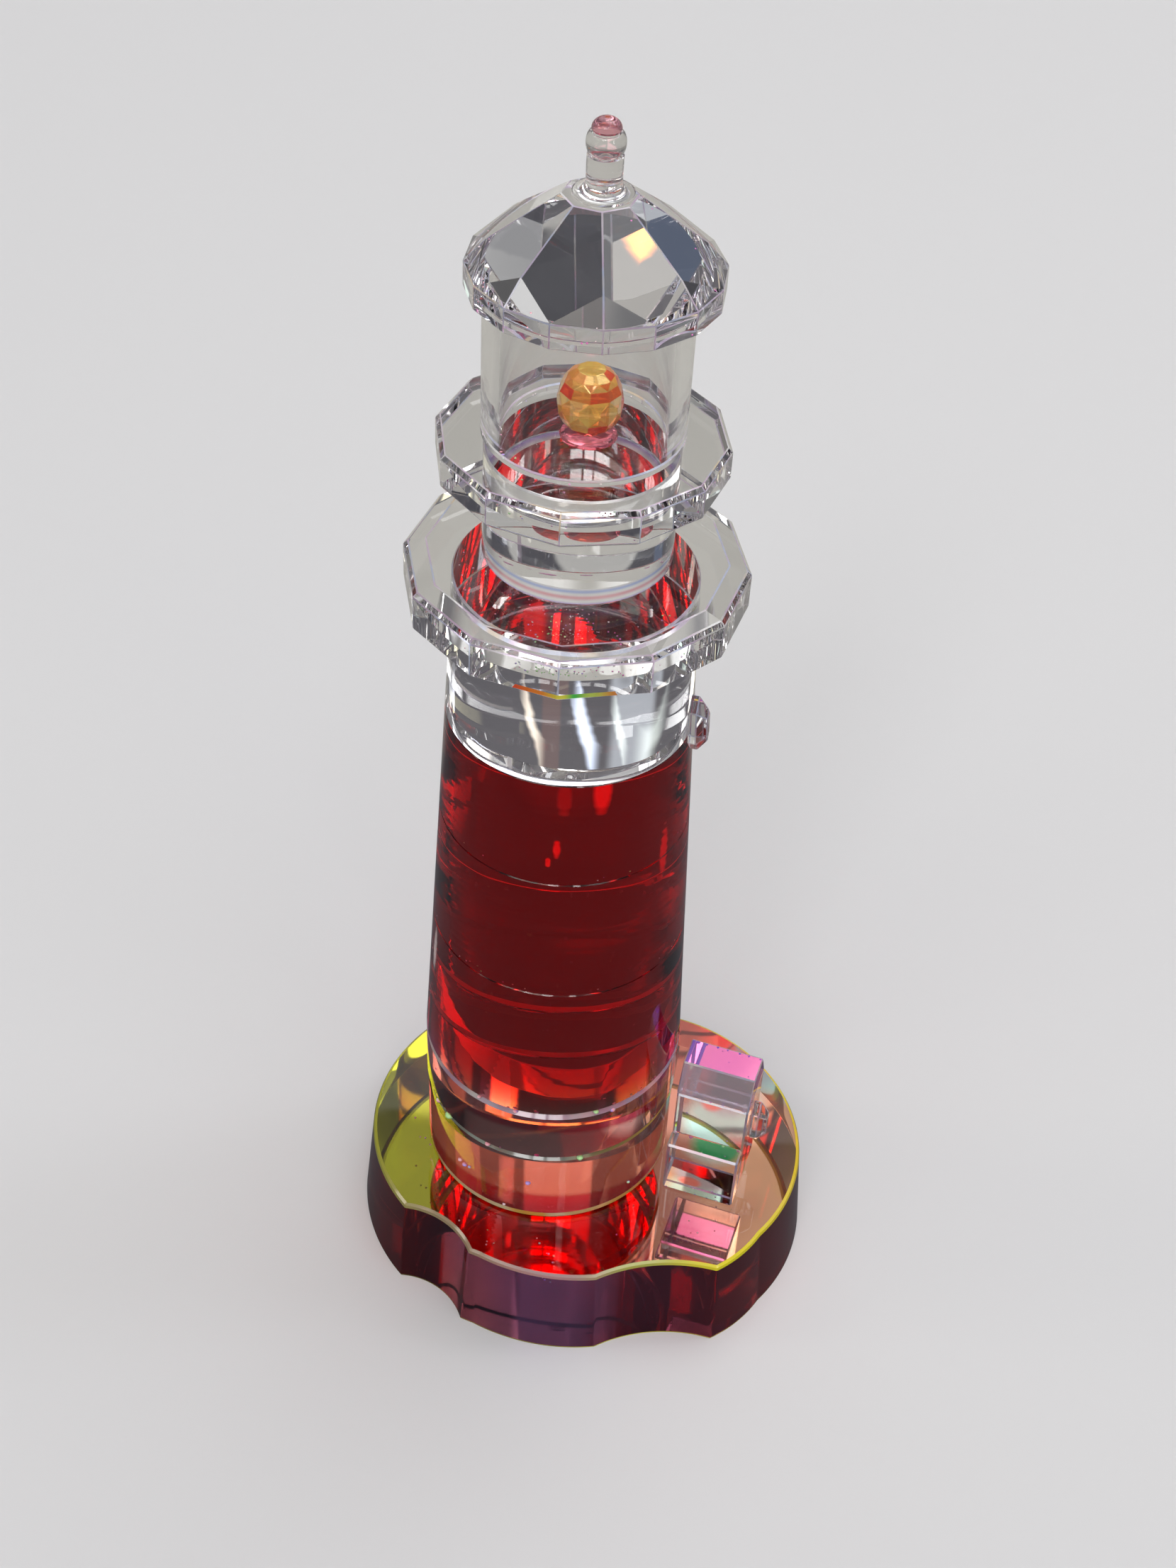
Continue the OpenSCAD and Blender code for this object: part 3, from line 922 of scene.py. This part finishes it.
def dome():
    """The faceted dome: a sixteen-sided girdle and crown facets that meet in a small table."""
    sides, break_in, table_r, turn = 8, 2.2, 3.6, 5 - 90
    ridge_r, half = DOME_R - break_in, radians(180 / sides)
    rise = (Z_TABLE - Z_GIRDLE) * (DOME_R - ridge_r * cos(half)) / (DOME_R - table_r * cos(half))
    centre = (DOME_OFF, 0)
    low, top = Z_DOME + GLUE, Z_TABLE - GLUE
    rings = [
        (2 * sides, DOME_R, low, turn),
        (2 * sides, DOME_R, Z_GIRDLE, turn),
        (sides, ridge_r, Z_GIRDLE + rise, turn),
        (sides, table_r, top, turn),
    ]
    bm = cut_block(rings, centre)
    soften(bm, 0.09)
    room = (disc(TUBE_BORE + 0.2), WALL, [])
    glued(bm, low, -1, [(disc(TUBE_R - 0.2), JOINT, [room])])
    foot = disc(FINIAL_FOOT_R - 0.1, (FINIAL_OFF, 0), TINY_ROUND)
    glued(bm, top, 1, [(foot, JOINT, [])])
    roof = finish(bm, "dome_roof_glass", "dome_roof", CLEAR_SET, flat=True)
    roof.visible_shadow = False


def finial():
    """The stem with its flared foot, the turned bead and the small cap."""
    centre = (FINIAL_OFF, 0)
    foot_r, stem, z = FINIAL_FOOT_R, 1.7, Z_TABLE
    curve = [
        (
            stem + (foot_r - stem) * (1 - sin(radians(7.5 * i))),
            z + 0.3 + 1.0 * (1 - cos(radians(7.5 * i))),
        )
        for i in range(13)
    ]
    points = [(0, z + GLUE), (foot_r - 0.1, z + GLUE), (foot_r, z + 0.1), *curve]
    points += [(stem, Z_RING - 0.12), (stem - 0.12, Z_RING - GLUE), (0, Z_RING - GLUE)]
    bm = turned(points, SMALL_ROUND, centre)
    for face in bm.faces:
        face.material_index = JOINT if abs(face.normal.z) > 0.999 else WALL
    finish(bm, "finial_stem_glass", "finial_stem", CLEAR_SET)

    r, low, high = 1.85, Z_RING + GLUE, Z_CAP - GLUE
    end_r, full = r * 0.78, 1 - cos(radians(80))
    side = [
        (
            end_r + (r - end_r) * (cos(radians(a)) - cos(radians(80))) / full,
            (low + high) / 2 + (high - low) / 2 * sin(radians(a)) / sin(radians(80)),
        )
        for a in range(-80, 81, 8)
    ]
    bm = turned([(0, low), *side, (0, high)], SMALL_ROUND, centre)
    for face in bm.faces:
        face.material_index = JOINT if abs(face.normal.z) > 0.999 else WALL
    finish(bm, "finial_ring_bead_turned", "finial_ring_bead", CLEAR_SET)

    cap_r, cap_h = 1.4, Z_TIP - Z_CAP
    curve = [
        (cap_r * cos(radians(7.5 * i)), Z_CAP + 0.25 + (cap_h - 0.25) * sin(radians(7.5 * i)))
        for i in range(12)
    ]
    points = [(0, Z_CAP + GLUE), (cap_r * 0.9, Z_CAP + GLUE), *curve, (0, Z_TIP)]
    bm = turned(points, TINY_ROUND, centre)
    for face in bm.faces:
        face.material_index = JOINT if face.normal.z < -0.999 else WALL
    finish(bm, "finial_cap_glass", "finial_cap", (rose, glue, rim))


# Window stones and house
def window_stone(name, node, put):
    """A pointed bar with a flat back, standing on its tip, its face towards +X."""
    half, long, thick, side, end, tip = 1.2, 3.8, 2.0, 0.6, 1.6, 1.7
    bm = bmesh.new()
    for inset, short, x in ((0, 0, 0), (0, 0, thick - side - 0.5), (side, end, thick)):
        for sy, sz in ((1, 1), (0, 1), (-1, 1), (-1, -1), (0, -1), (1, -1)):
            z = sz * (long - short - abs(sy) * (tip - short * 0.5))
            bm.verts.new((x, sy * (half - inset), z))
    hulled(bm)
    soften(bm, 0.09)
    finish(bm, name, node, CLEAR_SET, put, flat=True)


def windows():
    height, lean = TOWER_WINDOW_Z, atan2(TAPER, Z_GALLERY - Z_TOWER)
    put = (
        Matrix.Rotation(radians(TOWER_WINDOW_AZ), 4, "Z")
        @ Matrix.Translation((tower_r(height), 0, height))
        @ Matrix.Rotation(-lean, 4, "Y")
        @ Matrix.Translation((STONE_GAP, 0, 0))
    )
    window_stone("tower_window_stone", "tower_window", put)
    x, y = house_point(HOUSE_W + STONE_GAP, HOUSE_D / 2)
    turn = Matrix.Rotation(radians(HOUSE_AZ), 4, "Z")
    put = Matrix.Translation((x, y, BASE_H + HOUSE_WINDOW_H)) @ turn
    window_stone("house_window_stone", "house_window", put)


def block(u0, u1, v0, v1, z0, z1):
    """A sawn block in the house's own frame."""
    bm = bmesh.new()
    bmesh.ops.create_cube(bm, size=1.0)
    bmesh.ops.scale(bm, vec=(u1 - u0, v1 - v0, z1 - z0), verts=bm.verts[:])
    bmesh.ops.translate(
        bm, vec=((u0 + u1) / 2, (v0 + v1) / 2, (z0 + z1) / 2), verts=bm.verts[:]
    )
    return bm


def grind(bm, point, normal):
    """Takes off what lies on the normal's side of a plane, and closes the cut."""
    made = bmesh.ops.bisect_plane(
        bm,
        geom=bm.verts[:] + bm.edges[:] + bm.faces[:],
        dist=1e-5,
        plane_co=point,
        plane_no=normal,
        clear_outer=True,
    )
    cut = [g for g in made["geom_cut"] if isinstance(g, bmesh.types.BMEdge)]
    bmesh.ops.contextual_create(bm, geom=cut)


def paint(bm, facing, index, high=1e9):
    """Gives the faces that look one way, up to a height, another material slot."""
    for face in bm.faces:
        if face.normal.dot(Vector(facing)) > 0.99 and face.calc_center_median().z < high:
            face.material_index = index


def house():
    """The house: a block, a lower step glued before it, and a roof with two ground slopes."""
    turn = Matrix.Rotation(radians(HOUSE_AZ), 4, "Z")
    put = turn @ Matrix.Translation((HOUSE_U, HOUSE_V, BASE_H))
    bm = block(0, HOUSE_W, 0, HOUSE_D, GLUE, HOUSE_H - GLUE)
    soften(bm, HOUSE_BEVEL)
    covered = STEP_H - 0.15
    slice_at(bm, (0, 0, covered))
    paint(bm, (0, 0, 1), JOINT)
    paint(bm, (0, 0, -1), JOINT)
    paint(bm, (0, -1, 0), JOINT, high=covered)
    finish(bm, "house_block_glass", "house_block", CLEAR_SET, put)

    bm = block(0, HOUSE_W, -STEP_D, -2 * GLUE, GLUE, STEP_H)
    soften(bm, HOUSE_BEVEL)
    paint(bm, (0, 0, -1), JOINT)
    paint(bm, (0, 1, 0), JOINT)
    finish(bm, "house_step_glass", "house_step", CLEAR_SET, put)

    bm = block(0, HOUSE_W, 0, HOUSE_D, HOUSE_H + GLUE, HOUSE_H + ROOF_H)
    run = (HOUSE_D - ROOF_FLAT) / 2
    grind(bm, (0, 0, HOUSE_H + GLUE), (0, -ROOF_H, run))
    grind(bm, (0, HOUSE_D, HOUSE_H + GLUE), (0, ROOF_H, run))
    bmesh.ops.recalc_face_normals(bm, faces=bm.faces[:])
    soften(bm, ROOF_BEVEL)
    paint(bm, (0, 0, -1), JOINT)
    paint(bm, Vector((0, -ROOF_H, run)).normalized(), COATED)
    roof_set = (roof_glass, glue, rim, slope_glass)
    finish(bm, "house_roof_glass", "house_roof", roof_set, put)


def bubbles():
    """Air bubbles that the glue trapped near the rims of the joints, and a few in the slab."""
    draw = random.Random(11)
    bm = bmesh.new()

    def drop(x, y, z, size, flat=1.0):
        put = Matrix.Translation((x, y, z)) @ Matrix.Diagonal((size, size, size * flat, 1))
        bmesh.ops.create_icosphere(bm, subdivisions=2, radius=1.0, matrix=put)

    # Height, radius, number, smallest and largest size
    rims = [
        (Z_FOOT, FOOT_R - 0.5, 26, 0.14, 0.3),
        (Z_FOOT2, FOOT_R - 0.5, 26, 0.14, 0.32),
        (Z_TOWER, 15.3, 34, 0.1, 0.26),
        (Z_MID, tower_r(Z_MID) - 0.7, 18, 0.06, 0.13),
        (Z_UPPER, tower_r(Z_UPPER) - 0.7, 14, 0.06, 0.12),
        (Z_GALLERY, tower_r(Z_GALLERY) - 0.8, 46, 0.06, 0.13),
        (Z_GALLERY2, NECK_R - 0.8, 16, 0.06, 0.14),
        (Z_TUBE, TUBE_R - 0.9, 22, 0.06, 0.14),
        (Z_DOME, TUBE_R - 0.9, 18, 0.06, 0.12),
    ]
    for z, radius, count, least, most in rims:
        for _ in range(count):
            a, r = draw.uniform(0, tau), radius - abs(draw.gauss(0, 0.7))
            drop(r * cos(a), r * sin(a), z, draw.uniform(least, most), 0.7)
    for _ in range(70):
        # Dust in the glue under the lower gallery's front
        a, r = radians(draw.gauss(-96, 14)), draw.uniform(6.5, 11.5)
        drop(r * cos(a), r * sin(a), Z_GALLERY, draw.uniform(0.05, 0.11))
    # Larger flat ones sit in the groove between the foot discs and on the slab in front
    for az, z, size in (
        (-151, Z_FOOT2, 0.4),
        (-141, Z_FOOT2, 0.6),
        (-133, Z_FOOT + 5.5, 0.32),
        (-130, Z_FOOT + 5.3, 0.36),
        (-127, Z_FOOT + 5.5, 0.24),
        (-97, Z_FOOT + 7, 0.36),
        (-108, Z_FOOT + 1.4, 0.2),
        (-74, Z_FOOT2 - 0.2, 0.42),
        (-117, Z_FOOT2, 0.36),
        (-60, Z_TOWER - 0.6, 0.4),
        (-68, Z_TOWER, 0.36),
        (-104, Z_TOWER, 0.32),
        (-122, Z_TOWER - 0.1, 0.26),
        (-47, Z_FOOT + 3, 0.24),
    ):
        drop(FOOT_R * cos(radians(az)), FOOT_R * sin(radians(az)), z, size, 0.6)
    for _ in range(60):
        a, r = draw.uniform(0, tau), draw.uniform(17, 22)
        deep, size = draw.uniform(0.4, 5), draw.uniform(0.06, 0.15)
        drop(4 + r * cos(a), -1 + r * sin(a), BASE_H - deep, size)
    for u, v, z in ((0.4, -0.1, 0), (2.5, -0.1, 0.2), (6.8, -0.1, 0.1), (8.8, -0.1, 0.3)):
        x, y = house_point(u, v)
        drop(x, y, BASE_H + STEP_H - 0.35 - z, draw.uniform(0.2, 0.3))
    for u in (0.5, 1.6, 3.1, 4.4, 6.0, 7.2, 8.7):
        for v in (0.35, HOUSE_D - 0.4):
            x, y = house_point(u, v)
            drop(x, y, BASE_H + HOUSE_H, draw.uniform(0.12, 0.28), 0.6)
        x, y = house_point(u, 0.4 - STEP_D)
        drop(x, y, BASE_H, draw.uniform(0.12, 0.26), 0.6)
    finish(bm, "glue_bubbles", None, (bubble,), sharp=180)


base_film()
base_slab()
bubbles()
foot_and_tower()
galleries()
lantern()
dome()
finial()
windows()
house()


# Studio. The camera was fitted to the photograph: metres, degrees and pixels
CAMERA_PLACE, CAMERA_PITCH, CAMERA_ROLL = (-0.0026, -0.17495, 0.2333), 42.2, 3.49
FOCAL_PX, PHOTO_HIGH_PX, SENSOR = 2936, 2212, 36.0
TABLE_FADE = (0.074, 0.112)  # where the darker table behind the object gives way to pale paper


def photo_camera():
    """Stands where the photograph was taken: 42 degrees down, turned a little on its own axis."""
    pitch, roll = radians(CAMERA_PITCH), radians(CAMERA_ROLL)
    ahead = Vector((0, cos(pitch), -sin(pitch)))
    level = Vector((0, sin(pitch), cos(pitch)))
    right = Vector((1, 0, 0)) * cos(roll) + level * sin(roll)
    up = Vector((-1, 0, 0)) * sin(roll) + level * cos(roll)
    data = bpy.data.cameras.new("photo_camera")
    data.sensor_fit, data.sensor_height = "VERTICAL", SENSOR
    data.lens = SENSOR * FOCAL_PX / PHOTO_HIGH_PX
    data.clip_start, data.clip_end = 0.01, 20
    camera = bpy.data.objects.new("photo_camera", data)
    turn = Matrix((right, up, -ahead)).transposed().to_4x4()
    camera.matrix_world = Matrix.Translation(CAMERA_PLACE) @ turn
    bpy.context.scene.collection.objects.link(camera)
    bpy.context.scene.camera = camera


def softbox(name, size, place, aim, power):
    data = bpy.data.lights.new(name, "AREA")
    data.shape, data.size, data.size_y = "RECTANGLE", size[0], size[1]
    data.energy = power
    light = bpy.data.objects.new(name, data)
    turn = (Vector(aim) - Vector(place)).to_track_quat("-Z", "Y").to_matrix().to_4x4()
    light.matrix_world = Matrix.Translation(place) @ turn
    light.visible_camera = False
    bpy.context.scene.collection.objects.link(light)


# Softboxes round the studio: direction and height, half width and half height in degrees, roll,
# power, colour and how far their edges fade
PANELS = [
    (54, 28, 11, 7, 0, 0.26, "#ffffff", 0.3),
    (68, 17, 4, 5.5, 0, 0.55, "#ffffff", 0.3),
    (112, 25, 8, 7, 0, 0.36, "#fffaf0", 0.3),
    (128, 34, 5, 4, 0, 0.14, "#90b0e0", 0.4),
    (106.9, 26.7, 0.6, 0.5, 35, 6.0, "#ff8c20", 1.0),
    (41, 13.5, 4, 4, 0, 0.9, "#ffa030", 0.4),
    (15, 27, 14, 11, 0, 0.5, "#fff8ff", 0.4),
    (90, 36, 34, 1.6, 0, 0.35, "#fffdf4", 0.3),
    (119, 41, 10, 2.4, 0, 0.4, "#eef6ff", 0.4),
    (84, 41, 3.2, 3, 0, 0.12, "#c06a38", 0.3),
    (97, 40.7, 6.0, 0.75, 14, 2.0, "#dce8ff", 0.95),
    (76.2, 40.6, 5.0, 0.55, 14.5, 1.3, "#fff0dc", 0.95),
    (111.8, 40.7, 4.5, 0.5, 13, 0.8, "#f4fff8", 0.95),
    (130, 40.8, 9.0, 0.8, -5, 0.7, "#f4fff8", 0.95),
    (88, 48.5, 9, 3.2, 0, 0.9, "#ffffff", 0.12),
    (-145, 32, 12, 8, 0, 1.2, "#eafff4", 0.3),
    (50, 48, 5, 4, 0, 0.4, "#ffffff", 0.12),
    (90, 80, 18, 18, 0, 0.8, "#ffffff", 0.6),
    (-110, 39, 6, 9, 0, 7.0, "#ffffff", 0.3),
    (-96, 45, 4, 9, 0, 7.5, "#ffffff", 0.3),
    (-83, 41.5, 5, 6, 0, 6.0, "#ffffff", 0.3),
    (-73, 52, 2.5, 6, 0, 8.0, "#ffffff", 0.3),
    (-62, 38, 9, 6, 0, 1.5, "#fff8d0", 0.3),
    (-120, 52, 15, 10, 0, 2.1, "#fff4ea", 0.3),
    (-45, 56, 14, 12, 0, 1.6, "#ffffff", 0.4),
    (12, 46, 6, 7, 0, 4.0, "#f2f6ff", 0.3),
    (178, 40, 6, 7, 0, 4.0, "#fff6e8", 0.3),
]


def panel(tree, heading, az, up, wide, high, roll, power, colour, fade):
    """A far rectangular softbox: how far a heading lies across and up from its middle."""
    a, e, r = radians(az), radians(up), radians(roll)
    across = Vector((-sin(a), cos(a), 0))
    upward = Vector((-sin(e) * cos(a), -sin(e) * sin(a), cos(e)))
    ways = [
        (across * cos(r) + upward * sin(r)) / sin(radians(wide)),
        (upward * cos(r) - across * sin(r)) / sin(radians(high)),
    ]
    off = []
    for way in ways:
        along = add(tree, "ShaderNodeVectorMath", {"operation": "DOT_PRODUCT", 1: way}, i0=heading)
        off.append(
            add(tree, "ShaderNodeMath", {"operation": "ABSOLUTE"}, i0=along.outputs["Value"])
        )
    far = add(
        tree, "ShaderNodeMath", {"operation": "MAXIMUM"}, i0=off[0].outputs[0], i1=off[1].outputs[0]
    )
    edge = add(
        tree,
        "ShaderNodeMapRange",
        {
            "interpolation_type": "SMOOTHSTEP",
            "From Min": 1.0,
            "From Max": 1.0 - fade,
            "To Max": power,
        },
        Value=far.outputs[0],
    )
    lamp = add(tree, "ShaderNodeBackground", {"Color": srgb(colour)}, Strength=edge.outputs[0])
    return lamp.outputs[0]


# Painted glints of light on the table behind the cut pieces: place, radius and colour
PAINTED_TABLE_GLINTS = [
    ((-0.0112, 0.0288, 0), 0.0034, "#d0fbff"),
    ((-0.0245, 0.0776, 0), 0.0056, "#ffffff"),
    ((-0.0062, 0.0790, 0), 0.0040, "#a8a0a0"),
    ((-0.0040, 0.0690, 0), 0.0018, "#ffffff"),
    ((-0.0010, 0.0662, 0), 0.0012, "#ffffff"),
    ((-0.0494, 0.0359, 0), 0.0050, "#e8e0e0"),
]


def studio():
    """The pale floor and the room that the crystal mirrors and refracts."""
    bm = bmesh.new()
    bmesh.ops.create_circle(bm, cap_ends=True, segments=96, radius=3.0)
    mesh = bpy.data.meshes.new("studio_floor")
    bm.to_mesh(mesh)
    bm.free()
    floor = bpy.data.objects.new("studio_floor", mesh)
    bpy.context.scene.collection.objects.link(floor)
    material, tree, out = blank("Pale matt paper")
    place = add(tree, "ShaderNodeTexCoord").outputs["Object"]
    grain = add(tree, "ShaderNodeTexNoise", {"Scale": 900.0, "Detail": 3.0}, Vector=place)
    bump = add(
        tree, "ShaderNodeBump", {"Strength": 0.15, "Distance": 0.0001}, Height=grain.outputs["Fac"]
    )
    # Rays that come through the crystal find a darker table near it, as under the real one
    apart = add(tree, "ShaderNodeSeparateXYZ", i0=place)
    away = span(tree, apart.outputs["Y"], *TABLE_FADE)
    shades = {"data_type": "RGBA", 6: srgb("#5e5c62"), 7: srgb("#b8b6b0")}
    under = add(tree, "ShaderNodeMix", shades, i0=away).outputs[2]
    # Painted glints of light on the table, seen only through the crystal
    under = patched(tree, place, under, PAINTED_TABLE_GLINTS)
    matt = {"Base Color": srgb("#dcdcde"), "Roughness": 0.75}
    papers = [
        add(tree, "ShaderNodeBsdfPrincipled", matt, Normal=bump.outputs["Normal"]) for _ in range(2)
    ]
    tree.links.new(under, papers[0].inputs["Base Color"])
    sight = add(tree, "ShaderNodeLightPath")
    paper = add(
        tree,
        "ShaderNodeMixShader",
        i0=sight.outputs["Is Camera Ray"],
        i1=papers[0].outputs[0],
        i2=papers[1].outputs[0],
    )
    tree.links.new(paper.outputs[0], out.inputs["Surface"])
    mesh.materials.append(material)

    world = bpy.data.worlds.new("studio")
    bpy.context.scene.world = world
    world.use_nodes = True
    tree = world.node_tree
    tree.nodes.clear()
    out = tree.nodes.new("ShaderNodeOutputWorld")
    heading = add(tree, "ShaderNodeTexCoord").outputs["Generated"]
    apart = add(tree, "ShaderNodeSeparateXYZ", i0=heading)
    sky = ramp(
        tree,
        apart.outputs["Z"],
        [
            (0.0, "#8c8884"),
            (0.3, "#6a6866"),
            (0.42, "#414146"),
            (0.56, "#46464c"),
            (0.66, "#666468"),
            (0.73, "#a4a4a4"),
            (0.8, "#b8b8b8"),
            (1.0, "#bcbcbe"),
        ],
    )
    room = add(tree, "ShaderNodeBackground", {"Strength": 1.0}, Color=sky.outputs["Color"])
    for box in PANELS:
        room = add(tree, "ShaderNodeAddShader", i0=room.outputs[0], i1=panel(tree, heading, *box))
    seen = add(tree, "ShaderNodeBackground", {"Color": srgb("#dcdcde"), "Strength": 0.9})
    path = add(tree, "ShaderNodeLightPath")
    pick = add(
        tree,
        "ShaderNodeMixShader",
        i0=path.outputs["Is Camera Ray"],
        i1=room.outputs[0],
        i2=seen.outputs[0],
    )
    tree.links.new(pick.outputs[0], out.inputs["Surface"])

    softbox("top_softbox", (0.9, 0.7), (0.35, 0.3, 1.25), (0, 0, 0.07), 4.2)


photo_camera()
studio()

scene = bpy.context.scene
scene.cycles.max_bounces = 40
scene.cycles.transmission_bounces = 40
scene.cycles.glossy_bounces = 24
scene.cycles.transparent_max_bounces = 48
scene.cycles.sample_clamp_indirect = 8.0
scene.view_settings.view_transform = "Standard"
